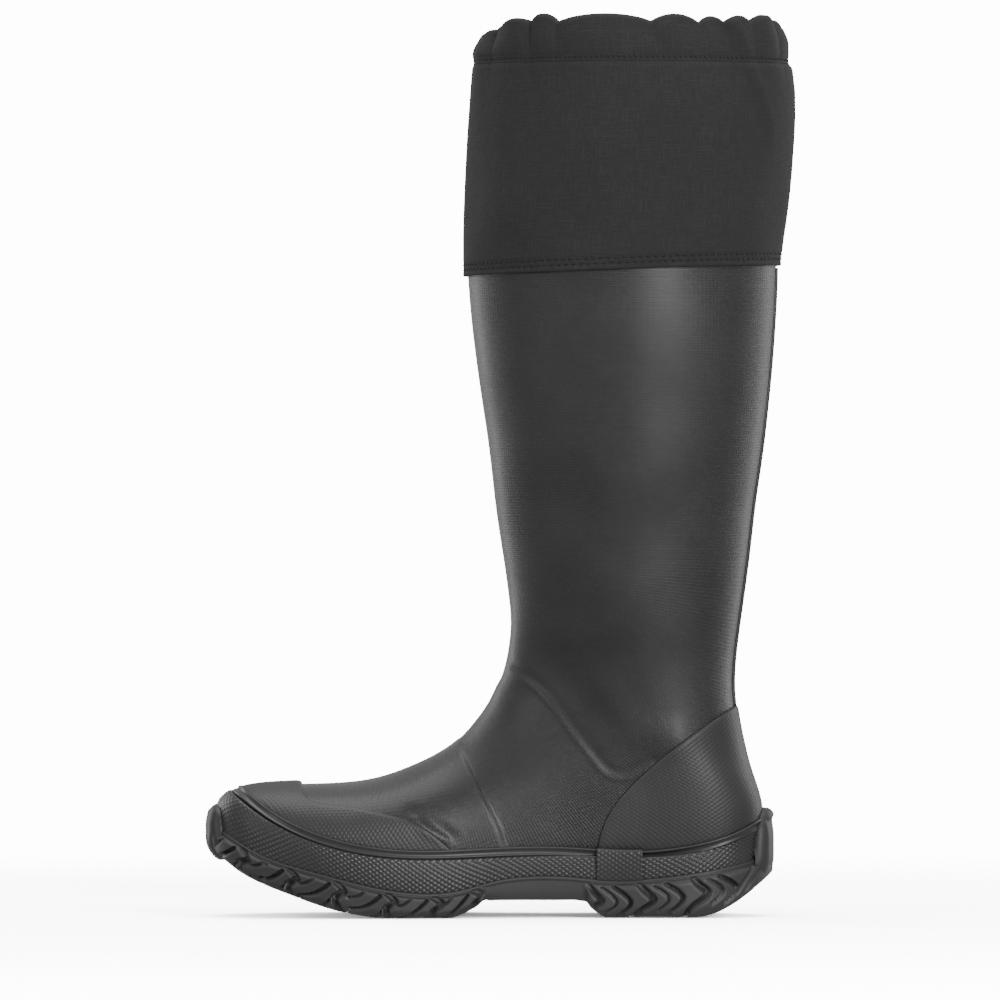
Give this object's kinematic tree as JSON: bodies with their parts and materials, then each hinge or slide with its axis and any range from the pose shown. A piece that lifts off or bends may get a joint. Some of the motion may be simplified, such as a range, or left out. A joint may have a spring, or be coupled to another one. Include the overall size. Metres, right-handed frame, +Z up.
{
  "type": "rubber boot",
  "caption": "Tall pull-on rubber boot with lugged cup sole, textured toe cap, heel counter and foxing, textile lining and a gathered fabric gaiter collar.",
  "frame": {"origin": "on the floor under the middle of the boot's outer box", "axes": "+Z up the leg, -X towards the toe, +X towards the heel, -Y the medial side of a right boot"},
  "size_m": [0.2956, 0.133, 0.449],
  "materials": {
    "outsole_rubber": "matte",
    "smooth_rubber": "satin",
    "trim_rubber": "satin",
    "textured_rubber": "matte",
    "knurled_rubber": "matte",
    "foam": "matte",
    "board": "matte",
    "stiffener": "matte",
    "lining_cloth": "matte",
    "footbed_cloth": "matte",
    "gaiter_cloth": "matte",
    "thread": "satin",
    "binding_cloth": "matte",
    "elastic": "matte"
  },
  "bodies": {
    "foot": {"outsole": "outsole_rubber", "midsole": "foam", "insole_board": "board", "foot_upper": "smooth_rubber", "foot_lining": "lining_cloth", "ankle_rubber": "smooth_rubber", "ankle_lining": "lining_cloth", "toe_cap": "textured_rubber", "toe_puff": "stiffener", "heel_counter": "textured_rubber", "heel_stiffener": "stiffener", "foxing_band": "knurled_rubber", "foxing_trim": "trim_rubber", "foxing_joint_patch": "knurled_rubber", "footbed_foam": "foam", "footbed_cover": "footbed_cloth"},
    "leg": {"leg_shell": "smooth_rubber", "leg_lining": "lining_cloth", "back_seam_strip": "trim_rubber", "gaiter_sleeve": "gaiter_cloth", "hem_stitch_rows": "thread", "inner_seam_tape": "binding_cloth"},
    "collar": {"collar_casing": "gaiter_cloth", "elastic_band": "elastic", "casing_stitch_row": "thread"}
  },
  "joints": [
    {"name": "ankle_flex", "type": "hinge", "parent": "foot", "child": "leg", "pos_m": [0.07017, 0, 0.1], "axis": [0, -1, 0], "range_deg": [-12, 22], "stiffness_Nm_per_rad": 9, "deforming": ["ankle_rubber", "ankle_lining"]},
    {"name": "collar_slide", "type": "slide", "parent": "leg", "child": "collar", "axis": [0, 0, 1], "range_m": [-0.055, 0], "deforming": ["gaiter_sleeve"]}
  ]
}
